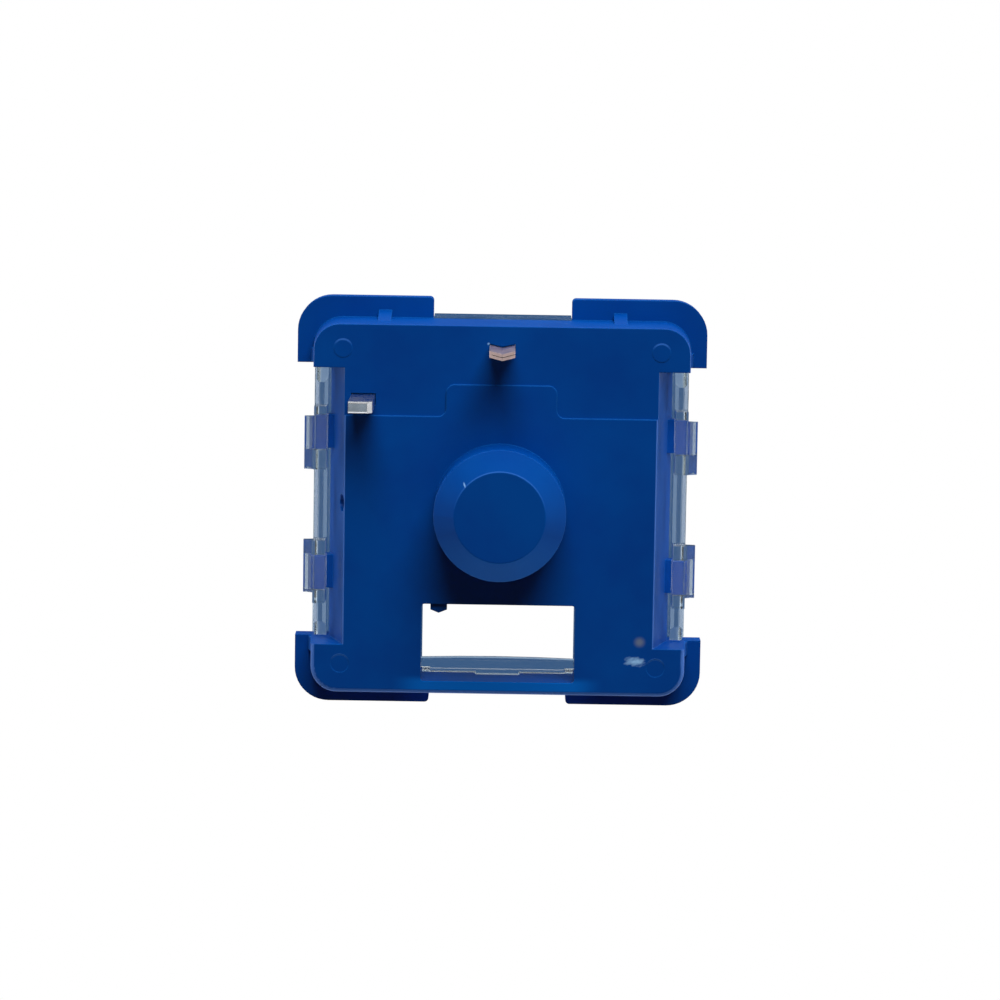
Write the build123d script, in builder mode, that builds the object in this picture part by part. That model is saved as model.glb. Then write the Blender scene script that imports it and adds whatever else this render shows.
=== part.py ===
from build123d import *
from math import sqrt
import os

# A low profile key switch, in millimetres. The origin is on the axis of the centre post, in the plane of
# the face that rests on the circuit board. +Z is the way the key comes up, +Y points to the contact pins,
# and the lamp window is at -Y. The eight pieces are drawn at rest, with the key up.

# ---------------------------------------------------------------- heights, from the board upwards
travel = 3.2              # full stroke of the stem
end_gap = 0.05            # play between the stem plate and each of its two stops
floor_t = 0.6             # floor of the bottom housing
ceiling_t = 0.6           # roof of the top housing
plate_t = 0.8             # plate of the stem, trapped between floor and roof
flange_z = 2.2            # underside of the flange, which rests on the switch plate
flange_t = 0.8
plate_low = floor_t + end_gap + travel
plate_high = plate_low + plate_t
ceiling_z = plate_high + end_gap
cover_top = ceiling_z + ceiling_t
rim_z = flange_z + flange_t            # parting line of the two housings

# ---------------------------------------------------------------- plan of the bottom housing
plate_hole = 14.0         # square hole of the switch plate
plate_gap = 0.09          # between the side and south walls and that hole
plate_gap_north = 0.26    # between the north wall and that hole
flange_over = 0.5         # reach of the flange over the plate
flange_r = 1.25
body_r = 1.05             # upright corners of the body, at the flange
draft = 0.1               # how far each wall leans in from the flange to the face
face_edge_r = 0.18
tab_gap = 5.07            # middle of the north and south sides, with no flange
tab_end_r = 0.15
recess_w = 10.1           # length of the side recesses that take the clip legs
recess_low = 1.26         # depth of a recess at the board
recess_high = 0.66        # the same, from the flange up
recess_edge_r = 0.06      # along the edge of the face
side_wall = 0.6           # wall between a recess and the cavity, at the floor
end_wall = 0.75           # north wall
lamp_wall = 0.56          # thinner south wall
lamp_step = 0.2           # its inner part stays low over the whole width of the lamp window
cavity_r = 0.5
relief = 0.08             # the face near the pins stands back by this much
relief_y = 3.33
tongue_w = 4.0            # tongue of the seat face that runs into the relief
tongue_y = 4.5
tongue_r = 0.3
saddle_drop = 0.1         # between the tabs, the north and south walls end this far below the flange
saddle_gap = 0.03         # round what the top housing hangs into them
key_w = 1.64              # notch in the south wall that keys the top housing
key_h = 0.45
rib_over = 0.01           # the crush ribs reach this far past the plate's hole
rib_x = 4.3               # those on the north and south walls
rib_w = 0.48
rib_h = 1.3               # below the flange, where a rib has faded out
side_rib_w = 0.5          # those on the side walls, next to the recesses
side_rib_off = 0.04
side_rib_h = 0.85
ejector_in = 1.06         # marks of the mould's ejector pins, from the face's side edges
ejector_r = 0.33
ejector_mark = 0.01       # proud in the relief, sunk in the seat face
gate_r = 0.32             # mark of the mould's gate on the east recess's wall
gate_y = 0.1
gate_z = 0.33

# ---------------------------------------------------------------- centre post and spring bore
post_r = 2.375
post_straight = 2.1
post_len = 2.65
post_taper = 0.745        # radius that the end loses
post_wall = 0.425         # wall round the spring's bore
post_edge_r = 0.06
bore_floor = 0.65         # solid end of the post under the spring

# ---------------------------------------------------------------- pins and their slots in the floor
pin_len = 3.0             # reach of both pins below the board's top face
slot_gap = 0.02           # round each pin
leaf_pin_y = 5.85         # pin of the moving contact, on x = 0
leaf_pin_w = 0.91
leaf_t = 0.1              # strip of the moving contact
fold_gap = 0.03           # between the two layers of its pin
fold_w = 0.1              # web that joins them down one edge
crease = 0.1              # depth of the crease that stiffens both layers
leaf_tip = 0.25           # height of the point at its end
pin_x = 5.0               # pin of the fixed terminal
pin_y = 3.9
pin_w = 0.85
pin_t = 0.41
pin_coin = 0.18           # coined edge at its end
strip_gap = 0.06          # between the strips and the floor

# ---------------------------------------------------------------- lamp window
lamp_w = 5.6
lamp_h = 2.84             # from the inner face of the south wall
lamp_r = 0.12
nib_x = 2.17              # small moulded nib on that edge
nib_w = 0.6
nib_len = 0.22
nib_point = 0.12
nib_z = 0.12

# ---------------------------------------------------------------- clip: lugs and legs
lug_near = 1.97           # a lug runs from here to lug_far, on both sides of y = 0
lug_far = 3.2
lug_short = 0.02          # a lug stays this much inside the leg's outer face
lug_drop = 0.6            # from the flange down to a lug's catching face
lug_h = 0.6
clip_gap = 0.05           # between a lug and the window of the leg
leg_gap = 0.08            # between a recess's wall and the leg
leg_t = 0.46
leg_end_gap = 0.05        # between a leg and the ends of its recess
leg_drop = 0.9            # from the flange down to the leg's lower edge
leg_taper = 0.6
leg_edge = 0.13
clip_near = 1.3           # the two tongues of a leg, which carry the windows
clip_far = 3.6
clip_end = 0.07           # of a tongue, below the nub
grip_t = 1.3              # from the flange to the nubs, which grip under the switch plate
nub_over = 0.35
nub_far = 3.22
nub_h = 0.45

# ---------------------------------------------------------------- top housing
cover_ledge_x = 0.6       # width of the flange that shows beside the cover
cover_ledge_y = 0.85
cover_r = 1.2
cover_draft = 0.05
cover_edge_r = 0.25
cover_wall_x = 0.8
cover_wall_y = 0.65
skirt_over = 0.21         # the skirts between the flange's tabs stand this far out of the walls
cover_lamp_wall = 0.35    # thinner south wall behind the lamp window
lamp_roof_gap = 0.55      # bridge of the roof between the stem's opening and the lamp's
lamp_bow = 0.05           # the south edge of the lamp's opening swells inwards
opening_chamfer = 0.15

# ---------------------------------------------------------------- stem
sleeve_r = 3.5            # round wall that shields the cross
sleeve_t = 0.55
sleeve_gap = 0.15         # between that wall and the opening in the roof
sleeve_h = 4.1            # over the stem plate
sleeve_floor = 0.45       # solid floor of the sleeve, over the stem plate
cross_w = 4.0
cross_arm_y = 1.17        # thickness of the arm that lies along Y
cross_arm_x = 1.31        # thickness of the arm that lies along X
cross_over = 0.15         # the cross stands this much over the sleeve
cross_tip = 0.2
plate_over = 0.3          # overlap of the plate with the roof round its opening
wing_gap = 0.35           # between a guide wing and the cavity's wall
wing_w = 2.4
rail_w = 0.5              # rails of the bottom housing, on both sides of each wing
rail_gap = 0.08
rail_clear = 0.35         # between the rails and the plate
cam_w = 2.0               # cam that holds the moving contact off
cam_over = 0.35           # reach of the cam past the plate
pole_side_gap = 0.175     # between the spring and the pole inside it
pole_gap = 0.15           # over the bore's end at full stroke
pole_tip = 0.2
seat_depth = 0.4          # ring groove that seats the spring
seat_gap = 0.02           # between each end of the spring and its seat

# ---------------------------------------------------------------- spring
wire = 0.25
wire_sides = 8            # the round wire is drawn with flat sides, which keeps the long coil light
spring_gap = 0.225        # between the spring and its bore
live_turns = 5
dead_gap = 0.02           # between the wires of the closed turn at each end

# ---------------------------------------------------------------- contacts
contact_z = 1.75          # height of the two contact points
leaf_top = 2.6
arm_off = 0.0425          # from midway between the stem's cam and the base strip to the free arm
arm_over = 0.35           # reach of the free arm past its contact point's middle
bend_x = -4.2             # where the strip turns back
finger_w = 1.0            # finger that the cam holds off
finger_short = 0.2        # the finger ends this far below the top of the stem's plate
finger_gap = 0.04         # between the cam and the finger
finger_edge = 0.3         # upright stretch of the finger beside the cam
terminal_gap = 0.31       # between the stem's plate and the fixed terminal
terminal_top = 2.75
shoulder_w = 0.675        # low stretch of the terminal before its pin
shoulder_z = 2.3
point_w = 0.4             # the two welded bars lie across each other
point_len = 1.0
point_h = 0.24
cradle_w = 0.9            # blocks that hold the fixed terminal upright
cradle_t = 0.45
cradle_top = 1.7

os.makedirs("parts", exist_ok=True)


# ================================================================ bottom housing
# Moulded nylon. The body drops through the switch plate and its four flange tabs rest on the plate.
flange_w = plate_hole + 2 * flange_over
body_x = plate_hole - 2 * plate_gap
body_south = plate_hole / 2 - plate_gap        # walls at the flange, from the post's axis
body_north = plate_hole / 2 - plate_gap_north
body_y = body_north + body_south
body_mid = (body_north - body_south) / 2       # the body's middle lies a little south of the post
face_x = body_x - 2 * draft
face_y = body_y - 2 * draft
rib_reach = plate_hole / 2 + rib_over
recess_face = body_x / 2 - recess_low          # half width between the recesses, at the board
recess_rim = body_x / 2 - recess_high          # the same, from the flange up
cavity_x = 2 * (recess_face - side_wall)
cavity_north = body_north - end_wall
cavity_south = body_south - lamp_wall
lamp_north = cavity_south - lamp_h
side_rib_y = recess_w / 2 + side_rib_off + side_rib_w / 2
leg_in = recess_rim + leg_gap
leg_out = leg_in + leg_t
leg_z = flange_z - leg_drop
nub_high = flange_z - grip_t
nub_low = nub_high - nub_h
clip_z = nub_low - clip_end
lug_reach = leg_out - lug_short
lug_z = flange_z - lug_drop
saddle_z = flange_z - saddle_drop
key_z = saddle_z - key_h
opening_r = sleeve_r + sleeve_gap
stem_plate_r = opening_r + plate_over
rail_len = cavity_x / 2 - stem_plate_r - rail_clear
post_tip_r = post_r - post_taper
bore_r = post_r - post_wall
bore_z = bore_floor - post_len

# section of the moving contact's pin: two layers with a crease down the middle
base_y = leaf_pin_y - fold_gap / 2 - leaf_t / 2
with BuildSketch() as leaf_pin_plan:
    with BuildLine():
        fold_south = leaf_pin_y - leaf_t - fold_gap / 2
        fold_north = leaf_pin_y + leaf_t + fold_gap / 2
        Polyline(
            (leaf_pin_w / 2, fold_north),
            (0, fold_north - crease),
            (-leaf_pin_w / 2, fold_north),
            (-leaf_pin_w / 2, fold_south),
            (0, fold_south - crease),
            (leaf_pin_w / 2, fold_south),
            close=True,
        )
    make_face()

with BuildPart() as bottom_housing:
    with BuildSketch():
        with Locations((0, body_mid)):
            RectangleRounded(face_x, face_y, body_r - draft)
    with BuildSketch(Plane.XY.offset(flange_z)):
        with Locations((0, body_mid)):
            RectangleRounded(body_x, body_y, body_r)
    loft()
    fillet(bottom_housing.edges().group_by(Axis.Z)[0], face_edge_r)

    # rim and flange tabs
    with BuildSketch(Plane.XY.offset(flange_z)) as flange:
        RectangleRounded(flange_w, flange_w, flange_r)
        with Locations((0, flange_w / 2)):
            Rectangle(tab_gap, flange_w - 2 * body_north, mode=Mode.SUBTRACT)
        with Locations((0, -flange_w / 2)):
            Rectangle(tab_gap, flange_w - 2 * body_south, mode=Mode.SUBTRACT)
        with Locations((flange_w / 2, 0), (-flange_w / 2, 0)):
            Rectangle(flange_w - 2 * recess_rim, recess_w, mode=Mode.SUBTRACT)
        tab_ends = flange.vertices().filter_by_position(Axis.X, tab_gap / 2 - 0.01, tab_gap / 2 + 0.01)
        tab_ends += flange.vertices().filter_by_position(Axis.X, -tab_gap / 2 - 0.01, -tab_gap / 2 + 0.01)
        fillet(tab_ends.filter_by(lambda corner: abs(corner.Y) > flange_w / 2 - 0.01), tab_end_r)
    extrude(amount=flange_t)

    # crush ribs that centre the body in the plate's hole; they fade out towards the board
    for spot in (rib_x, -rib_x):
        with BuildSketch(Plane.YZ.offset(spot)):
            with BuildLine():
                Polyline(
                    (-rib_reach, flange_z),
                    (rib_reach, flange_z),
                    (body_north - draft, flange_z - rib_h),
                    (draft - body_south, flange_z - rib_h),
                    close=True,
                )
            make_face()
        extrude(amount=rib_w / 2, both=True)
    for spot in (side_rib_y, -side_rib_y):
        with BuildSketch(Plane.XZ.offset(spot)):
            with BuildLine():
                Polyline(
                    (-rib_reach, flange_z),
                    (rib_reach, flange_z),
                    (face_x / 2, flange_z - side_rib_h),
                    (-face_x / 2, flange_z - side_rib_h),
                    close=True,
                )
            make_face()
        extrude(amount=side_rib_w / 2, both=True)

    # side recesses, with walls that lean out towards the flange
    with BuildSketch(Plane.XZ):
        with BuildLine():
            Polyline(
                (recess_face, 0),
                (recess_rim, flange_z),
                (recess_rim, rim_z),
                (flange_w, rim_z),
                (flange_w, 0),
                close=True,
            )
        make_face()
        mirror(about=Plane.YZ)
    extrude(amount=recess_w / 2, both=True, mode=Mode.SUBTRACT)
    recess_edges = bottom_housing.edges().group_by(Axis.Z)[0].filter_by(Axis.Y)
    recess_edges = recess_edges.filter_by(lambda edge: abs(abs(edge.center().X) - recess_face) < 0.01)
    fillet(recess_edges, recess_edge_r)

    # flat mark that the mould's gate leaves on the sloping east wall
    with BuildSketch(Plane.YZ.offset(recess_face)):
        with Locations((gate_y, gate_z)):
            Circle(gate_r)
    extrude(amount=recess_rim - recess_face, mode=Mode.SUBTRACT)

    # cavity, open at the top
    with BuildSketch(Plane.XY.offset(floor_t)):
        with Locations((0, (cavity_north - cavity_south) / 2)):
            RectangleRounded(cavity_x, cavity_north + cavity_south, cavity_r)
    extrude(amount=rim_z - floor_t, mode=Mode.SUBTRACT)

    # low middle of the north and south walls, and the key notch in the south one
    with BuildSketch(Plane.XY.offset(saddle_z)):
        Rectangle(tab_gap, flange_w)
        with Locations((0, -cavity_south)):
            Rectangle(lamp_w, 2 * lamp_step)
    extrude(amount=rim_z - saddle_z, mode=Mode.SUBTRACT)
    with BuildSketch(Plane.XY.offset(key_z)):
        with Locations((0, -body_south)):
            Rectangle(key_w, 2 * lamp_wall)
    extrude(amount=saddle_z - key_z, mode=Mode.SUBTRACT)

    # relief round the pins, with the seat face's tongue between them
    with BuildSketch() as relief_plan:
        with Locations((0, (relief_y + flange_w) / 2)):
            Rectangle(flange_w, flange_w - relief_y)
        with Locations((0, relief_y)):
            Rectangle(tongue_w, 2 * (tongue_y - relief_y), mode=Mode.SUBTRACT)
        corners = relief_plan.vertices().filter_by_position(Axis.X, -tongue_w / 2 - 0.01, tongue_w / 2 + 0.01)
        fillet(corners, tongue_r)
    extrude(amount=relief, mode=Mode.SUBTRACT)

    # ejector marks, set in a square round the post
    ejector_pitch = face_x - 2 * ejector_in
    with BuildSketch():
        with Locations((0, -ejector_pitch / 2)):
            with GridLocations(ejector_pitch, 0, 2, 1):
                Circle(ejector_r)
    extrude(amount=ejector_mark, mode=Mode.SUBTRACT)
    with BuildSketch(Plane.XY.offset(relief)):
        with Locations((0, ejector_pitch / 2)):
            with GridLocations(ejector_pitch, 0, 2, 1):
                Circle(ejector_r)
    extrude(amount=-ejector_mark)

    # lugs for the clip legs, sloped on top so that the legs ride over them
    with BuildSketch(Plane.XZ.offset(-lug_far)) as lug_profile:
        with BuildLine():
            Polyline(
                (recess_face, lug_z),
                (lug_reach, lug_z),
                (lug_reach, lug_z + lug_h / 3),
                (recess_rim, lug_z + lug_h),
                (recess_face, lug_z + lug_h),
                close=True,
            )
        make_face()
        mirror(about=Plane.YZ)
    extrude(amount=lug_far - lug_near)
    with BuildSketch(Plane.XZ.offset(lug_near)):
        add(lug_profile.sketch_local)
    extrude(amount=lug_far - lug_near)

    # centre post, with the spring's blind bore
    with BuildSketch(Plane.XZ):
        with BuildLine():
            Polyline(
                (0, floor_t),
                (post_r, floor_t),
                (post_r, -post_straight),
                (post_tip_r, -post_len),
                (0, -post_len),
                close=True,
            )
        make_face()
    revolve(axis=Axis.Z)
    fillet(bottom_housing.edges().group_by(Axis.Z)[0], post_edge_r)
    with BuildSketch(Plane.XY.offset(bore_z)):
        Circle(bore_r)
    extrude(amount=floor_t - bore_z, mode=Mode.SUBTRACT)

    # rails beside the stem's wings, and blocks that hold the fixed terminal
    with BuildSketch(Plane.XY.offset(floor_t)):
        with GridLocations(cavity_x - rail_len, wing_w + 2 * rail_gap + rail_w, 2, 2):
            Rectangle(rail_len, rail_w)
    extrude(amount=rim_z - floor_t)
    with BuildSketch(Plane.XY.offset(floor_t)):
        cradle_x = pin_x - pin_w / 2
        cradle_off = pin_t / 2 + slot_gap + cradle_t / 2
        with Locations((cradle_x, pin_y - cradle_off), (cradle_x, pin_y + cradle_off)):
            Rectangle(cradle_w, cradle_t)
    extrude(amount=cradle_top - floor_t)

    # slots for the two pins; the outer one runs up the side wall
    with BuildSketch():
        offset(leaf_pin_plan.sketch, slot_gap, kind=Kind.INTERSECTION)
    extrude(amount=floor_t, mode=Mode.SUBTRACT)
    with BuildSketch():
        with Locations((pin_x, pin_y)):
            Rectangle(pin_w + 2 * slot_gap, pin_t + 2 * slot_gap)
    extrude(amount=rim_z, mode=Mode.SUBTRACT)

    # lamp window through the floor, and its nib
    with BuildSketch():
        with Locations((0, -lamp_north - lamp_h / 2)):
            RectangleRounded(lamp_w, lamp_h, lamp_r)
    extrude(amount=floor_t, mode=Mode.SUBTRACT)
    with BuildSketch(Plane.XY.offset(nib_z)):
        with BuildLine():
            Polyline(
                (nib_x - nib_w / 2, -lamp_north),
                (nib_x - nib_w / 2, -lamp_north - nib_len),
                (nib_x, -lamp_north - nib_len - nib_point),
                (nib_x + nib_w / 2, -lamp_north - nib_len),
                (nib_x + nib_w / 2, -lamp_north),
                close=True,
            )
        make_face()
    extrude(amount=floor_t - nib_z)
bottom_housing.part.label = "bottom_housing"


# ================================================================ top housing
# Clear moulded cover. It sits on the rim and clips round the body with a leg on each side.
cover_x = flange_w - 2 * cover_ledge_x
cover_y = flange_w - 2 * cover_ledge_y
cover_in_x = cover_x - 2 * cover_wall_x
cover_in_y = cover_y - 2 * cover_wall_y
lamp_inner = cover_y / 2 - cover_lamp_wall
lamp_roof = opening_r + lamp_roof_gap

with BuildPart() as top_housing:
    with BuildSketch(Plane.XY.offset(rim_z)):
        RectangleRounded(cover_x, cover_y, cover_r)
    with BuildSketch(Plane.XY.offset(cover_top)):
        RectangleRounded(cover_x - 2 * cover_draft, cover_y - 2 * cover_draft, cover_r)
    loft()
    fillet(top_housing.edges().group_by(Axis.Z)[-1], cover_edge_r)

    # skirts that fill the low middle of the north and south walls, and the south key
    with BuildSketch(Plane.XY.offset(saddle_z + saddle_gap)):
        Rectangle(tab_gap - 2 * saddle_gap, cover_y + 2 * skirt_over)
    extrude(amount=rim_z - saddle_z - saddle_gap)
    with BuildSketch(Plane.XY.offset(key_z + saddle_gap)):
        with Locations((0, -(cover_y - cover_lamp_wall) / 2)):
            Rectangle(key_w - 2 * saddle_gap, cover_lamp_wall)
    extrude(amount=saddle_z - key_z)

    # cavity, with the thin wall behind the lamp window
    with BuildSketch(Plane.XY.offset(saddle_z)):
        RectangleRounded(cover_in_x, cover_in_y, cover_r - cover_wall_y)
        with Locations((0, -lamp_inner / 2)):
            Rectangle(lamp_w + 2 * clip_gap, lamp_inner)
    extrude(amount=ceiling_z - saddle_z, mode=Mode.SUBTRACT)

    # openings of the roof: one for the stem's sleeve, one for the lamp
    with BuildSketch(Plane.XY.offset(ceiling_z)):
        Circle(opening_r)
        with BuildLine():
            lamp_side = lamp_w / 2 + clip_gap
            Polyline(
                (lamp_side, -lamp_inner),
                (lamp_side, -lamp_roof),
                (-lamp_side, -lamp_roof),
                (-lamp_side, -lamp_inner),
            )
            ThreePointArc((-lamp_side, -lamp_inner), (0, lamp_bow - lamp_inner), (lamp_side, -lamp_inner))
        make_face()
    extrude(amount=ceiling_t, mode=Mode.SUBTRACT)
    arcs = top_housing.edges().filter_by(GeomType.CIRCLE).group_by(Axis.Z)[-1]
    chamfer(arcs.filter_by(lambda arc: abs(arc.radius - opening_r) < 0.01), opening_chamfer)

    # clip legs: a skirt with two tongues, each with a window for a lug
    leg_half = recess_w / 2 - leg_end_gap
    window_y = (lug_near + lug_far) / 2
    window_w = lug_far - lug_near + 2 * clip_gap
    window_h = lug_h + 2 * clip_gap
    for side in (1, -1):
        with BuildSketch(Plane.YZ.offset(side * leg_in)):
            with BuildLine():
                Polyline(
                    (-leg_half, rim_z + ceiling_t),
                    (-leg_half, leg_z + leg_taper),
                    (-leg_half + leg_taper, leg_z),
                    (leg_half - leg_taper, leg_z),
                    (leg_half, leg_z + leg_taper),
                    (leg_half, rim_z + ceiling_t),
                    close=True,
                )
            make_face()
        extrude(amount=side * leg_t)
    lower_edges = top_housing.edges().filter_by(Axis.Y).group_by(Axis.Z)[0]
    chamfer(lower_edges, leg_edge)
    for side in (1, -1):
        with BuildSketch(Plane.YZ.offset(side * leg_in)):
            with Locations(((clip_near + clip_far) / 2, 0), (-(clip_near + clip_far) / 2, 0)):
                with Locations((0, (clip_z + leg_z + leg_t) / 2)):
                    Rectangle(clip_far - clip_near, leg_z + leg_t - clip_z)
            with Locations((window_y, lug_z + lug_h / 2), (-window_y, lug_z + lug_h / 2)):
                Rectangle(window_w, window_h, mode=Mode.SUBTRACT)
        extrude(amount=side * leg_t)
        with BuildSketch(Plane.YZ.offset(side * leg_in)):
            with Locations((window_y, lug_z + lug_h / 2), (-window_y, lug_z + lug_h / 2)):
                Rectangle(window_w, window_h)
        extrude(amount=side * leg_t, mode=Mode.SUBTRACT)
    nub_reach = leg_out + nub_over
    nub_slope = (nub_high - nub_low) / 3
    for far in (nub_far, -clip_near):
        with BuildSketch(Plane.XZ.offset(-far)):
            with BuildLine():
                Polyline(
                    (leg_in, nub_low),
                    (leg_out, nub_low),
                    (nub_reach, nub_low + nub_slope),
                    (nub_reach, nub_high - nub_slope / 2),
                    (leg_out, nub_high),
                    (leg_in, nub_high),
                    close=True,
                )
            make_face()
            mirror(about=Plane.YZ)
        extrude(amount=nub_far - clip_near)
top_housing.part.label = "top_housing"


# ================================================================ stem
# Moulded slider: a cross for the keycap inside a round sleeve, a plate, and a pole for the spring.
wing_reach = cavity_x / 2 - wing_gap
cam_reach = stem_plate_r + cam_over
spring_r = bore_r - spring_gap - wire / 2      # to the middle of the wire
pole_r = spring_r - wire / 2 - pole_side_gap
pole_low = bore_z + pole_gap + travel
seat_z = plate_low + seat_depth
sleeve_z = plate_high + sleeve_floor

with BuildPart() as stem:
    with BuildSketch(Plane.XY.offset(plate_low)):
        Circle(stem_plate_r)
        Rectangle(2 * wing_reach, wing_w)
        with Locations((0, cam_reach / 2)):
            Rectangle(cam_w, cam_reach)
    extrude(amount=plate_t)
    cam_edge = stem.edges().filter_by(Axis.X).group_by(Axis.Y)[-1].sort_by(Axis.Z)[0]
    chamfer(cam_edge, cam_over)
    with BuildSketch(Plane.XY.offset(plate_high)):
        Circle(sleeve_r)
    extrude(amount=sleeve_h)
    with BuildSketch(Plane.XY.offset(sleeve_z)):
        Circle(sleeve_r - sleeve_t)
    extrude(amount=sleeve_h - sleeve_floor, mode=Mode.SUBTRACT)
    sleeve_edges = stem.faces().sort_by(Axis.Z)[-1].edges()
    fillet(sleeve_edges, sleeve_t / 5)
    with BuildSketch(Plane.XY.offset(sleeve_z)):
        Rectangle(cross_w, cross_arm_x)
        Rectangle(cross_arm_y, cross_w)
    extrude(amount=sleeve_h - sleeve_floor + cross_over)
    chamfer(stem.faces().sort_by(Axis.Z)[-1].edges(), cross_tip)

    # groove for the spring, round the pole
    with BuildSketch(Plane.XY.offset(plate_low)):
        Circle(bore_r)
    extrude(amount=seat_depth, mode=Mode.SUBTRACT)
    with BuildSketch(Plane.XY.offset(pole_low)):
        Circle(pole_r)
    extrude(amount=seat_z - pole_low)
    chamfer(stem.edges().group_by(Axis.Z)[0], pole_tip)
stem.part.label = "stem"


# ================================================================ return spring
# Stainless wire, wound with one closed turn at each end.
spring_low = bore_z + wire / 2 + seat_gap
spring_high = seat_z - wire / 2 - seat_gap
dead_pitch = wire + dead_gap
live_pitch = (spring_high - spring_low - 2 * dead_pitch) / live_turns

with BuildPart() as return_spring:
    with BuildLine() as coil:
        Helix(dead_pitch, dead_pitch, spring_r, center=(0, 0, spring_low))
        Helix(live_pitch, live_pitch * live_turns, spring_r, center=(0, 0, spring_low + dead_pitch))
        Helix(dead_pitch, dead_pitch, spring_r, center=(0, 0, spring_high - dead_pitch))
    with BuildSketch(Plane(origin=coil.line @ 0, z_dir=coil.line % 0)):
        RegularPolygon(wire / 2, wire_sides)
    sweep(is_frenet=True)
return_spring.part.label = "return_spring"


# ================================================================ fixed terminal
# Stamped strip that stands upright in the housing, with its pin through the floor.
strip_z = floor_t + strip_gap
pin_right = pin_x + pin_w / 2
pin_left = pin_x - pin_w / 2
terminal_end = sqrt((stem_plate_r + terminal_gap) ** 2 - (pin_y - pin_t / 2) ** 2)
shoulder_x = pin_left - shoulder_w

with BuildPart() as fixed_terminal:
    with BuildSketch(Plane.XZ.offset(-pin_y - pin_t / 2)):
        with BuildLine():
            Polyline(
                (pin_left + pin_coin, -pin_len),
                (pin_right, -pin_len),
                (pin_right, terminal_top),
                (shoulder_x + terminal_top - shoulder_z, terminal_top),
                (shoulder_x, shoulder_z),
                (terminal_end, shoulder_z),
                (terminal_end, strip_z),
                (pin_left, strip_z),
                (pin_left, pin_coin - pin_len),
                close=True,
            )
        make_face()
    extrude(amount=pin_t)
    tip = fixed_terminal.faces().sort_by(Axis.Z)[0]
    chamfer(tip.edges().filter_by(Axis.X), pin_coin / 3)
fixed_terminal.part.label = "fixed_terminal"


# ================================================================ moving contact
# One thin strip: a pin folded double, a base along the north wall, a turn back, and a sprung arm with a
# finger that the stem's cam holds off.
strip_face = pin_y + pin_t / 2
arm_y = (cam_reach + base_y) / 2 - arm_off
point_x = terminal_end + arm_over
arm_end = point_x + point_len / 2
finger_y = cam_reach + finger_gap + leaf_t / 2
finger_top = plate_high - finger_short
finger_knee = finger_top - finger_edge

with BuildPart() as moving_contact:
    with BuildSketch(Plane.XY.offset(strip_z)):
        with BuildLine():
            Line((leaf_pin_w / 2, base_y), (bend_x, base_y))
            turn = (base_y - arm_y) / 2
            ThreePointArc((bend_x, base_y), (bend_x - turn, base_y - turn), (bend_x, arm_y))
            Line((bend_x, arm_y), (arm_end, arm_y))
        trace(line_width=leaf_t)
    extrude(amount=leaf_top - strip_z)

    # finger
    with BuildSketch(Plane.YZ):
        with BuildLine():
            Line((arm_y, strip_z + leaf_t), (arm_y, leaf_top))
            Polyline((arm_y, leaf_top), (finger_y, finger_knee), (finger_y, finger_top))
        trace(line_width=leaf_t)
    extrude(amount=finger_w / 2, both=True)

    # the pin: its neck, the two creased layers, and the slit that leaves them joined down one edge
    with BuildSketch(Plane.XY.offset(-pin_len)):
        add(leaf_pin_plan.sketch_local)
    extrude(amount=pin_len + floor_t - slot_gap)
    with BuildSketch(Plane.XY.offset(floor_t - slot_gap)):
        with Locations((0, base_y)):
            Rectangle(leaf_pin_w, leaf_t)
    extrude(amount=strip_z - floor_t + slot_gap)
    with BuildSketch(Plane.XY.offset(-pin_len)):
        with BuildLine():
            Polyline(
                (leaf_pin_w / 2, leaf_pin_y + fold_gap / 2),
                (0, leaf_pin_y + fold_gap / 2 - crease),
                (-leaf_pin_w / 2, leaf_pin_y + fold_gap / 2),
                (-leaf_pin_w / 2, leaf_pin_y - fold_gap / 2),
                (0, leaf_pin_y - fold_gap / 2 - crease),
                (leaf_pin_w / 2, leaf_pin_y - fold_gap / 2),
                close=True,
            )
        make_face()
        with Locations((leaf_pin_w / 2, leaf_pin_y)):
            Rectangle(2 * fold_w, 2 * crease, mode=Mode.SUBTRACT)
    extrude(amount=pin_len + floor_t - slot_gap, mode=Mode.SUBTRACT)

    # point at its end
    with BuildSketch(Plane.XZ.offset(-leaf_pin_y)):
        with BuildLine():
            Polyline(
                (0, -pin_len),
                (leaf_pin_w, 2 * leaf_tip - pin_len),
                (leaf_pin_w, -pin_len),
                close=True,
            )
        make_face()
        mirror(about=Plane.YZ)
    extrude(amount=leaf_pin_w, both=True, mode=Mode.SUBTRACT)
moving_contact.part.label = "moving_contact"


# ================================================================ contact points
# Two short welded bars of precious metal that meet crosswise.
arm_face = arm_y - leaf_t / 2

with BuildPart() as fixed_contact_point:
    with BuildSketch(Plane.XY.offset(contact_z - point_len / 2)):
        with BuildLine():
            Polyline(
                (point_x - point_w / 2, strip_face),
                (point_x + point_w / 2, strip_face),
                (point_x + point_w / 4, strip_face + point_h),
                (point_x - point_w / 4, strip_face + point_h),
                close=True,
            )
        make_face()
    extrude(amount=point_len)
fixed_contact_point.part.label = "fixed_contact_point"

with BuildPart() as moving_contact_point:
    with BuildSketch(Plane.YZ.offset(point_x - point_len / 2)):
        with BuildLine():
            Polyline(
                (arm_face, contact_z - point_w / 2),
                (arm_face, contact_z + point_w / 2),
                (arm_face - point_h, contact_z + point_w / 4),
                (arm_face - point_h, contact_z - point_w / 4),
                close=True,
            )
        make_face()
    extrude(amount=point_len)
moving_contact_point.part.label = "moving_contact_point"


for piece in (
    bottom_housing,
    top_housing,
    stem,
    return_spring,
    fixed_terminal,
    moving_contact,
    fixed_contact_point,
    moving_contact_point,
):
    export_step(piece.part, f"parts/{piece.part.label}.step")
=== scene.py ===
from math import cos, pi, radians, sin

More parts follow.
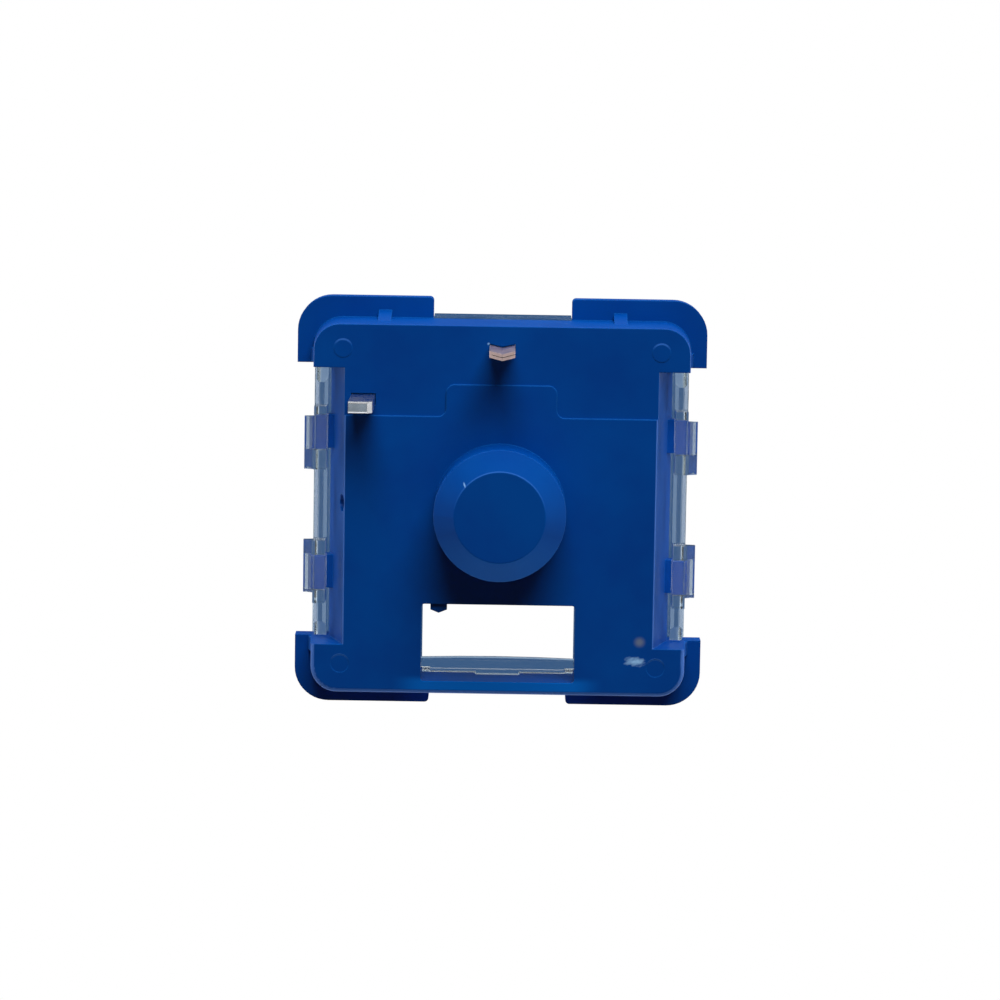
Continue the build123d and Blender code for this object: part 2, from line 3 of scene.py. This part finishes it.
import bpy
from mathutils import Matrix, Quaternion, Vector


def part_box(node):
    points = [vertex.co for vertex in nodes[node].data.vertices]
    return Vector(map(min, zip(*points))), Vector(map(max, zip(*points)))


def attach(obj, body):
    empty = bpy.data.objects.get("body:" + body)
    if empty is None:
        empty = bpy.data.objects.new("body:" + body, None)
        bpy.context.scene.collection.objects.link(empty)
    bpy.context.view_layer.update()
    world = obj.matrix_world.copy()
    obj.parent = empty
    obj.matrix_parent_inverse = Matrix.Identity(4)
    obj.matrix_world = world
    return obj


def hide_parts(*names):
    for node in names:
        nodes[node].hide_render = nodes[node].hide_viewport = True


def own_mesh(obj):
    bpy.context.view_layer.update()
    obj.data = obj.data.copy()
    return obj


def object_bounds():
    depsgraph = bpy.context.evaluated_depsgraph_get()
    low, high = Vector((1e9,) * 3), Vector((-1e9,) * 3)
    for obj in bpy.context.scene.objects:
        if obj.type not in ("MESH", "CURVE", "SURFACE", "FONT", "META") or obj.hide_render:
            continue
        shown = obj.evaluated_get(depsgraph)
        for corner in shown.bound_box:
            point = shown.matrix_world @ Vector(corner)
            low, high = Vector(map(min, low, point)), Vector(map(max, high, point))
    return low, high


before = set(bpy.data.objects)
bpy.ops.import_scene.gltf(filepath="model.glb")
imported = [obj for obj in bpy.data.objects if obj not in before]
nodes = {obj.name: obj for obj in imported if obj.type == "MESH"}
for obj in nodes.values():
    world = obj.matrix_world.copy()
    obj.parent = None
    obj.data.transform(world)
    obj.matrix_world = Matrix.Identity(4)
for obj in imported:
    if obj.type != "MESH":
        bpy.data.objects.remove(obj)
cad_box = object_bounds()
bpy.ops.object.select_all(action="DESELECT")


# ---------------------------------------------------------------- bottom housing
# Nylon, moulded in one deep blue. The tool's faces are finely eroded, so the skin is satin, with faint
# clouds where the plastic flowed. Its sharp edges are rounded by a few hundredths and catch the light.
def feed(tree, value, socket):
    """Link an output to this socket, or set the socket to a plain value."""
    if isinstance(value, bpy.types.NodeSocket):
        tree.links.new(value, socket)
    else:
        socket.default_value = value


def math_of(tree, operation, *values):
    """The output of a maths node with these inputs."""
    node = tree.nodes.new("ShaderNodeMath")
    node.operation = operation
    for value, socket in zip(values, node.inputs):
        feed(tree, value, socket)
    return node.outputs[0]


def vector_of(tree, operation, *values):
    node = tree.nodes.new("ShaderNodeVectorMath")
    node.operation = operation
    for value, socket in zip(values, node.inputs):
        feed(tree, value, socket)
    return node.outputs["Value" if operation in ("LENGTH", "DOT_PRODUCT") else "Vector"]


def axes_of(tree, vector):
    node = tree.nodes.new("ShaderNodeSeparateXYZ")
    tree.links.new(vector, node.inputs[0])
    return node.outputs


def centred(tree, vector, centre=(0, 0, 0), turn=0, half_size=(1, 1, 1)):
    """The place seen from a mark's own centre, turned with it, in half sizes of the mark."""
    node = tree.nodes.new("ShaderNodeMapping")
    node.vector_type = "TEXTURE"
    tree.links.new(vector, node.inputs["Vector"])
    node.inputs["Location"].default_value = centre
    node.inputs["Rotation"].default_value = (0, 0, radians(turn))
    node.inputs["Scale"].default_value = half_size
    return node.outputs["Vector"]


def ramped(tree, value, start, end, low=0.0, high=1.0, smooth=False):
    """A mask that goes from low to high while the value goes from start to end."""
    node = tree.nodes.new("ShaderNodeMapRange")
    if smooth:
        node.interpolation_type = "SMOOTHSTEP"
    limits = {"From Min": start, "From Max": end, "To Min": low, "To Max": high}
    for name, given in {"Value": value, **limits}.items():
        feed(tree, given, node.inputs[name])
    return node.outputs["Result"]


def noise_of(tree, vector, scale, detail, roughness=0.5):
    node = tree.nodes.new("ShaderNodeTexNoise")
    for name, given in {"Vector": vector, "Scale": scale, "Detail": detail, "Roughness": roughness}.items():
        feed(tree, given, node.inputs[name])
    return node.outputs["Fac"]


def mixed(tree, factor, first, second, kind="RGBA"):
    """The first colour, or number, with the second laid over it where the factor says."""
    node = tree.nodes.new("ShaderNodeMix")
    node.data_type = kind
    for name, given in {"Factor": factor, "A": first, "B": second}.items():
        feed(tree, given, node.inputs[name])
    return node.outputs["Result"]


def new_group(name, inputs, outputs):
    group = bpy.data.node_groups.new(name, "ShaderNodeTree")
    for side, sockets in (("INPUT", inputs), ("OUTPUT", outputs)):
        for label, kind in sockets.items():
            group.interface.new_socket(label, in_out=side, socket_type="NodeSocket" + kind)
    given = group.nodes.new("NodeGroupInput")
    out = group.nodes.new("NodeGroupOutput")
    return group, given.outputs, out.inputs


def moulded_skin_group():
    tree, given, out = new_group(
        "Moulded Skin",
        {"Colour": "Color", "Cloud Colour": "Color", "Cloud Size": "Float", "Grain Size": "Float",
         "Smoothest": "Float", "Roughest": "Float"},
        {"Colour": "Color", "Roughness": "Float", "Height": "Float"},
    )
    place = tree.nodes.new("ShaderNodeTexCoord").outputs["Object"]

    # clouds: a few across the piece, which tint the colour a little
    cloud = noise_of(tree, place, math_of(tree, "DIVIDE", 1.0, given["Cloud Size"]), 3.0, 0.55)
    tint = mixed(tree, ramped(tree, cloud, 0.35, 0.65), given["Colour"], given["Cloud Colour"])
    feed(tree, tint, out["Colour"])

    # grain of the eroded tool, as height, and a change in gloss that follows the clouds
    grain = noise_of(tree, place, math_of(tree, "DIVIDE", 1.0, given["Grain Size"]), 2.0)
    feed(tree, grain, out["Height"])
    feed(tree, ramped(tree, cloud, 0.3, 0.7, given["Smoothest"], given["Roughest"]), out["Roughness"])
    return tree


def rounded_edge_group():
    tree, given, out = new_group("Rounded Edge", {"Radius": "Float"}, {"Normal": "Vector", "Edge": "Float"})
    bevel = tree.nodes.new("ShaderNodeBevel")
    bevel.samples = 6
    feed(tree, given["Radius"], bevel.inputs["Radius"])
    geometry = tree.nodes.new("ShaderNodeNewGeometry")
    same = vector_of(tree, "DOT_PRODUCT", bevel.outputs["Normal"], geometry.outputs["Normal"])
    feed(tree, bevel.outputs["Normal"], out["Normal"])
    feed(tree, ramped(tree, same, 0.995, 0.8), out["Edge"])
    return tree


moulded_skin = moulded_skin_group()
rounded_edge = rounded_edge_group()


def placed_group(tree, group, **values):
    node = tree.nodes.new("ShaderNodeGroup")
    node.node_tree = group
    for name, value in values.items():
        node.inputs[name.replace("_", " ").title()].default_value = value
    return node.outputs


def new_finish(name):
    """A new material, with its nodes and its shader."""
    material = bpy.data.materials.new(name)
    material.use_nodes = True
    return material, material.node_tree, material.node_tree.nodes["Principled BSDF"]


def set_bump(tree, bsdf, height, strength, distance, normal=None):
    bump = tree.nodes.new("ShaderNodeBump")
    bump.inputs["Strength"].default_value = strength
    bump.inputs["Distance"].default_value = distance
    tree.links.new(height, bump.inputs["Height"])
    if normal is not None:
        tree.links.new(normal, bump.inputs["Normal"])
    tree.links.new(bump.outputs["Normal"], bsdf.inputs["Normal"])


blue_nylon, tree, bsdf = new_finish("Blue nylon")
bsdf.inputs["Specular IOR Level"].default_value = 0.08
bsdf.inputs["IOR"].default_value = 1.5
skin = placed_group(
    tree, moulded_skin, colour=(0.0, 0.051, 0.29, 1), cloud_colour=(0.0, 0.066, 0.335, 1),
    cloud_size=0.0035, grain_size=0.00005, smoothest=0.36, roughest=0.46
)
edges = placed_group(tree, rounded_edge, radius=0.00005)
geometry = tree.nodes.new("ShaderNodeNewGeometry")
slope = axes_of(tree, geometry.outputs["Normal"])
place = tree.nodes.new("ShaderNodeTexCoord").outputs["Object"]
from_axis = vector_of(tree, "LENGTH", vector_of(tree, "MULTIPLY", place, (1, 1, 0)))
north = axes_of(tree, place)["Y"]

# painted highlight: the rounded edges are painted paler, as if catching the light
painted_edge_highlight = (0.018, 0.2, 0.7, 1)
shade = mixed(tree, math_of(tree, "MULTIPLY", edges["Edge"], 0.45), skin["Colour"], painted_edge_highlight)

# painted light: the rounded rim of the underside is painted paler all round, except on the side of the pins,
# as if lit from the room's sides, and so is the far side of the post's end
clear_of_post = 0.004
painted_post_light, painted_rim_light = (0.006, 0.17, 0.72, 1), (0.06, 0.175, 0.58, 1)
steep = ramped(tree, slope["Z"], -1.0, -0.93, smooth=True)
shallow = ramped(tree, slope["Z"], -0.15, -0.5, smooth=True)
outside = math_of(tree, "GREATER_THAN", from_axis, clear_of_post)
post_turned = ramped(tree, slope["Y"], -0.2, -0.55, high=0.7)
rim_turned = ramped(tree, slope["Y"], 0.6, 0.2)
turned = mixed(tree, outside, post_turned, rim_turned, kind="FLOAT")
painted_side_light_mask = math_of(tree, "MULTIPLY", math_of(tree, "MULTIPLY", steep, shallow), turned)
shade = mixed(tree, painted_side_light_mask, shade, mixed(tree, outside, painted_post_light, painted_rim_light))

# painted highlight: the mould's four ejector pins left marks, and their upper edge is painted bright
ejector_in, ejector_r, ejector_line = 0.00575, 0.00033, 0.000035
folded = vector_of(tree, "ABSOLUTE", place)
from_mark = vector_of(tree, "SUBTRACT", folded, (ejector_in, ejector_in, 0))
mark_reach = vector_of(tree, "LENGTH", vector_of(tree, "MULTIPLY", from_mark, (1, 1, 0)))
ring = math_of(tree, "COMPARE", mark_reach, ejector_r, ejector_line)
upward = math_of(tree, "MULTIPLY", math_of(tree, "SIGN", north), axes_of(tree, from_mark)["Y"])
painted_glint = math_of(tree, "MULTIPLY", ring, ramped(tree, upward, 0.00012, 0.0003, high=0.5))

# a painted highlight also runs round the edge of the post's flat end, most of all on the side of the pins
post_end_r, post_end_line = 0.00165, 0.00002
end_ring = math_of(tree, "COMPARE", from_axis, post_end_r, post_end_line)
painted_glint = math_of(tree, "MULTIPLY_ADD", end_ring, ramped(tree, north, 0.0002, 0.0014, high=0.4), painted_glint)
shade = mixed(tree, painted_glint, shade, (0.05, 0.2, 0.66, 1))

# painted glow: the thin wall beside the lamp window is painted lighter, as if light came through it
thin_y = ramped(tree, north, -0.0061, -0.0064, high=0.55, smooth=True)
thin_x = ramped(tree, axes_of(tree, folded)["X"], 0.004, 0.0026, smooth=True)
flat = math_of(tree, "LESS_THAN", slope["Z"], -0.98)
painted_glow = math_of(tree, "MULTIPLY", math_of(tree, "MULTIPLY", thin_y, thin_x), flat)
shade = mixed(tree, painted_glow, shade, (0.0, 0.2, 0.8, 1))

# a small speck of grit is pressed into the face
speck_place = centred(tree, place, (-0.00516, -0.0048, 0), half_size=(0.00017, 0.00016, 0.0001))
speck = ramped(tree, vector_of(tree, "LENGTH", speck_place), 1.6, 0.2, smooth=True)
shade = mixed(tree, speck, shade, (0.15, 0.19, 0.3, 1))

# beside it is a pale patch with a ragged outline
pale_patch_place = centred(tree, place, (-0.00501, -0.00552, 0), 3, (0.00044, 0.00019, 0.0001))
ragged_noise = noise_of(tree, centred(tree, place, turn=150, half_size=(1.0, 0.5, 1.0)), 3600.0, 3.0)
ragged = math_of(tree, "MULTIPLY_ADD", ragged_noise, 1.3, vector_of(tree, "LENGTH", pale_patch_place))
shade = mixed(tree, ramped(tree, ragged, 1.6, 0.9), shade, (0.34, 0.62, 0.98, 1))

# two tiny nicks show pale plastic: one on the slope of the post's end, one beside the folded pin
for spot, turn, half_size in (
    ((0.00127, 0.00116, -0.00256), 72, (0.00009, 0.00003, 0.0004)),
    ((0.0005, 0.00599, 0.00008), 0, (0.00005, 0.00004, 0.0002)),
):
    nick_shape = vector_of(tree, "LENGTH", centred(tree, place, spot, turn, half_size))
    shade = mixed(tree, ramped(tree, nick_shape, 1.3, 0.5, high=0.85), shade, (0.25, 0.5, 0.9, 1))
feed(tree, shade, bsdf.inputs["Base Color"])
feed(tree, skin["Roughness"], bsdf.inputs["Roughness"])
set_bump(tree, bsdf, skin["Height"], 0.6, 0.0000015, edges["Normal"])
nodes["bottom_housing"].data.materials[0] = blue_nylon


# ---------------------------------------------------------------- fixed terminal
# Brass strip, stamped and then tin plated, so it is dull grey all over. The press leaves fine lines along
# its sheared edges, and the tin has faint clouds.
def stamped_strip(name, metal, worn_metal, smoothest, roughest):
    material, tree, bsdf = new_finish(name)
    bsdf.inputs["Metallic"].default_value = 1.0
    cloud_metal = [c * 0.86 for c in metal[:3]] + [1]
    skin = placed_group(
        tree, moulded_skin, colour=metal, cloud_colour=cloud_metal, cloud_size=0.0006,
        grain_size=0.00004, smoothest=smoothest, roughest=roughest
    )
    edges = placed_group(tree, rounded_edge, radius=0.00003)
    feed(tree, mixed(tree, edges["Edge"], skin["Colour"], worn_metal), bsdf.inputs["Base Color"])
    feed(tree, skin["Roughness"], bsdf.inputs["Roughness"])

    # lines that the rolls and the press leave along the height of the strip
    place = tree.nodes.new("ShaderNodeTexCoord").outputs["Object"]
    along = vector_of(tree, "MULTIPLY", place, (1.0, 1.0, 0.04))
    lines = noise_of(tree, along, 40000.0, 3.0)
    set_bump(tree, bsdf, lines, 0.7, 0.000002, edges["Normal"])
    return material


tin_plate = stamped_strip("Tin plate", (0.66, 0.67, 0.69, 1), (0.68, 0.70, 0.73, 1), 0.22, 0.34)
nodes["fixed_terminal"].data.materials[0] = tin_plate


# ---------------------------------------------------------------- moving contact
# Thin strip of spring bronze, stamped, folded double at its pin and bent back on itself. It is bright from
# the rolls, with a warm tone where it has tarnished.
spring_bronze = stamped_strip("Spring bronze", (0.90, 0.675, 0.645, 1), (0.98, 0.77, 0.72, 1), 0.3, 0.45)
nodes["moving_contact"].data.materials[0] = spring_bronze


# ---------------------------------------------------------------- contact points
# Two short bars of gold alloy, cut from wire and welded on crosswise, one on the fixed terminal and one on
# the moving contact's free arm. They are soft and bright.
gold_alloy = stamped_strip("Gold alloy", (0.86, 0.62, 0.28, 1), (0.95, 0.75, 0.42, 1), 0.18, 0.26)
nodes["fixed_contact_point"].data.materials[0] = gold_alloy
nodes["moving_contact_point"].data.materials[0] = gold_alloy


# ---------------------------------------------------------------- return spring
# Drawn stainless wire, wound in open turns with a closed turn at each end. Its lower end stands in the bore
# of the centre post and its upper end in a groove under the stem.
low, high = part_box("return_spring")
wire_r = 0.000125
coil_r = high.x - wire_r
closed_turns, turns, steps = 1.0, 7.0, 30
closed_rise = 0.00027
first_z, last_z = low.z + wire_r, high.z - wire_r
open_rise = (last_z - first_z - 2 * closed_turns * closed_rise) / (turns - 2 * closed_turns)

bpy.ops.curve.primitive_nurbs_path_add()
spring = bpy.context.object
spring.name = "wound_spring"
spring.data.splines.clear()
coil = spring.data.splines.new("POLY")
coil.points.add(int(turns * steps))
for i, point in enumerate(coil.points):
    turn = i / steps
    rise = closed_rise * min(turn, closed_turns)
    rise += open_rise * min(max(turn - closed_turns, 0), turns - 2 * closed_turns)
    rise += closed_rise * max(turn - turns + closed_turns, 0)
    point.co = (coil_r * cos(2 * pi * turn), coil_r * sin(2 * pi * turn), first_z + rise, 1)
spring.data.bevel_depth = wire_r
spring.data.bevel_resolution = 3
spring.data.use_fill_caps = True
bpy.ops.object.convert(target="MESH")
bpy.ops.object.shade_smooth_by_angle(angle=radians(40))

drawn_wire, tree, bsdf = new_finish("Drawn wire")
bsdf.inputs["Metallic"].default_value = 1.0
skin = placed_group(
    tree, moulded_skin, colour=(0.60, 0.59, 0.57, 1), cloud_colour=(0.52, 0.50, 0.47, 1),
    cloud_size=0.0009, grain_size=0.00003, smoothest=0.2, roughest=0.3
)
feed(tree, skin["Colour"], bsdf.inputs["Base Color"])
feed(tree, skin["Roughness"], bsdf.inputs["Roughness"])
set_bump(tree, bsdf, skin["Height"], 0.4, 0.000001)
spring.data.materials.clear()
spring.data.materials.append(drawn_wire)
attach(spring, "housing")
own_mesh(spring)
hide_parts("return_spring")
bpy.ops.object.select_all(action="DESELECT")


# ---------------------------------------------------------------- stem
# Natural acetal, moulded in one piece: it is milky, smooth and slippery, and a little darker in faint
# clouds. A little light goes in under its skin.
natural_acetal, tree, bsdf = new_finish("Natural acetal")
bsdf.inputs["Specular IOR Level"].default_value = 0.32
bsdf.inputs["Subsurface Weight"].default_value = 0.15
bsdf.inputs["Subsurface Radius"].default_value = (0.0004, 0.0004, 0.00035)
bsdf.inputs["Subsurface Scale"].default_value = 1.0
skin = placed_group(
    tree, moulded_skin, colour=(0.60, 0.60, 0.57, 1), cloud_colour=(0.55, 0.55, 0.53, 1),
    cloud_size=0.003, grain_size=0.00006, smoothest=0.28, roughest=0.38
)
edges = placed_group(tree, rounded_edge, radius=0.00006)
feed(tree, skin["Colour"], bsdf.inputs["Base Color"])
feed(tree, skin["Roughness"], bsdf.inputs["Roughness"])
set_bump(tree, bsdf, skin["Height"], 0.5, 0.000001, edges["Normal"])
nodes["stem"].data.materials[0] = natural_acetal


# ---------------------------------------------------------------- top housing
# Clear polycarbonate, moulded against a polished tool and clipped over the body. It is very slightly blue,
# with flow marks in its gloss.
clear_cover, tree, bsdf = new_finish("Clear polycarbonate")
bsdf.inputs["IOR"].default_value = 1.585
bsdf.inputs["Transmission Weight"].default_value = 1.0
skin = placed_group(
    tree, moulded_skin, colour=(0.86, 0.93, 0.97, 1), cloud_colour=(0.82, 0.90, 0.95, 1),
    cloud_size=0.002, grain_size=0.0004, smoothest=0.03, roughest=0.09
)
edges = placed_group(tree, rounded_edge, radius=0.00002)
feed(tree, skin["Colour"], bsdf.inputs["Base Color"])
feed(tree, skin["Roughness"], bsdf.inputs["Roughness"])
set_bump(tree, bsdf, skin["Height"], 0.5, 0.000003, edges["Normal"])

# the lamps' light goes on through it, a little weaker, to the stem and the lugs behind
passed = tree.nodes.new("ShaderNodeBsdfTransparent")
passed.inputs["Color"].default_value = (0.82, 0.91, 0.98, 1)
path = tree.nodes.new("ShaderNodeLightPath")
lit_through = tree.nodes.new("ShaderNodeMixShader")
tree.links.new(path.outputs["Is Shadow Ray"], lit_through.inputs[0])
tree.links.new(bsdf.outputs[0], lit_through.inputs[1])
tree.links.new(passed.outputs[0], lit_through.inputs[2])
tree.links.new(lit_through.outputs[0], tree.nodes["Material Output"].inputs["Surface"])
nodes["top_housing"].data.materials[0] = clear_cover


# ---------------------------------------------------------------- floor
# Pale card that the pins stand on. It takes the object's shadow and fades out to white, and only its upper
# face shows, because the camera looks up at the object from below it.
bpy.ops.mesh.primitive_circle_add(vertices=96, radius=0.09, fill_type="NGON", location=(0, 0, cad_box[0].z))
floor = bpy.context.object
floor.name = "floor"
pale_card, tree, bsdf = new_finish("Pale card")
tree.nodes.remove(bsdf)
card = tree.nodes.new("ShaderNodeBsdfDiffuse")
card.inputs["Color"].default_value = (0.93, 0.93, 0.93, 1)
nothing = tree.nodes.new("ShaderNodeBsdfTransparent")
path = tree.nodes.new("ShaderNodeLightPath")
seen = math_of(tree, "MAXIMUM", path.outputs["Is Camera Ray"], path.outputs["Is Transmission Ray"])
geometry = tree.nodes.new("ShaderNodeNewGeometry")
above = math_of(tree, "SUBTRACT", 1.0, geometry.outputs["Backfacing"])
place = tree.nodes.new("ShaderNodeTexCoord").outputs["Object"]
fade = ramped(tree, vector_of(tree, "LENGTH", place), 0.085, 0.02, smooth=True)
mix = tree.nodes.new("ShaderNodeMixShader")
feed(tree, math_of(tree, "MULTIPLY", math_of(tree, "MULTIPLY", seen, above), fade), mix.inputs[0])
tree.links.new(nothing.outputs[0], mix.inputs[1])
tree.links.new(card.outputs[0], mix.inputs[2])
tree.links.new(mix.outputs[0], tree.nodes["Material Output"].inputs["Surface"])
floor.data.materials.append(pale_card)


# ---------------------------------------------------------------- light
# A wide window beyond the pins, low over the underside, throws the shadows of the post and the pins. A dim
# card behind the camera gives the pins' ends and the clear legs something to mirror. The white room round
# the object lights every wall and chamfer from the side.
def soft_box(name, centre, size, power, colour):
    bpy.ops.object.light_add(type="AREA", location=centre)
    lamp = bpy.context.object
    lamp.name = name
    lamp.rotation_euler = (-Vector(centre)).to_track_quat("-Z", "Y").to_euler()
    lamp.data.size = size
    lamp.data.energy = power
    lamp.data.color = colour
    lamp.visible_camera = False
    lamp.visible_transmission = False
    return lamp


window = soft_box("window", (-0.03, 0.20, -0.13), 0.16, 0.65, (1.0, 1.0, 1.0))
window.visible_glossy = False
lens_card = soft_box("lens card", (0, -0.03, -0.2), 0.14, 0.027, (0.8, 0.95, 1.1))
lens_card.visible_diffuse = False

world = bpy.data.worlds.new("Studio")
bpy.context.scene.world = world
world.use_nodes = True
tree = world.node_tree
place = tree.nodes.new("ShaderNodeTexCoord")
height = ramped(tree, axes_of(tree, place.outputs["Generated"])["Z"], -1.0, 1.0)


def room_ramp(stops):
    ramp = tree.nodes.new("ShaderNodeValToRGB")
    for edge, (spot, colour) in zip(ramp.color_ramp.elements, (stops[0], stops[-1])):
        edge.position = spot
        edge.color = colour
    for spot, colour in stops[1:-1]:
        ramp.color_ramp.elements.new(spot).color = colour
    tree.links.new(height, ramp.inputs["Fac"])
    return ramp.outputs["Color"]


def grey(level):
    return (level, level, level, 1)


# the room by height, from straight below to straight above: what lights the object, what gloss mirrors, and
# what shows through the clear cover, where it is dim and blue straight behind
dim_blue, deep_blue, pale_blue = (0.16, 0.24, 0.38, 1), (0.04, 0.1, 0.22, 1), (0.72, 0.87, 1.0, 1)
lights = room_ramp(
    ((0, grey(0.02)), (0.35, grey(0.03)), (0.47, grey(0.2)), (0.51, grey(2.2)), (0.6, grey(2.2)),
     (0.76, grey(1.05)), (1, grey(1.05)))
)
mirrored = room_ramp(
    ((0, grey(0.02)), (0.08, grey(0.02)), (0.2, grey(0.45)), (0.47, grey(0.5)), (0.52, grey(2.0)),
     (0.65, grey(1.4)), (0.93, dim_blue), (0.985, deep_blue))
)
shown = room_ramp(
    ((0, grey(1)), (0.46, grey(1)), (0.52, pale_blue), (0.65, pale_blue), (0.93, dim_blue),
     (0.985, deep_blue))
)
path = tree.nodes.new("ShaderNodeLightPath")
seen = lights
for ray, view in (("Is Glossy Ray", mirrored), ("Is Transmission Ray", shown), ("Is Camera Ray", grey(1))):
    seen = mixed(tree, path.outputs[ray], seen, view)
tree.links.new(seen, tree.nodes["Background"].inputs["Color"])


# ---------------------------------------------------------------- camera
# Below the object and a little towards the pins, so that it looks straight at the underside. It is turned by
# about a degree round its own line of sight.
aim = Vector((0, 0.00007, 0.0022))
bpy.ops.object.camera_add(location=(0, 0.0168, -0.1368))
camera = bpy.context.object
look = (aim - camera.location).to_track_quat("-Z", "Y")
camera.rotation_euler = (look @ Quaternion((0, 0, 1), radians(0.925))).to_euler()
camera.data.lens = 136.9
camera.data.clip_start = 0.01
bpy.context.scene.camera = camera
bpy.context.scene.view_settings.view_transform = "Standard"
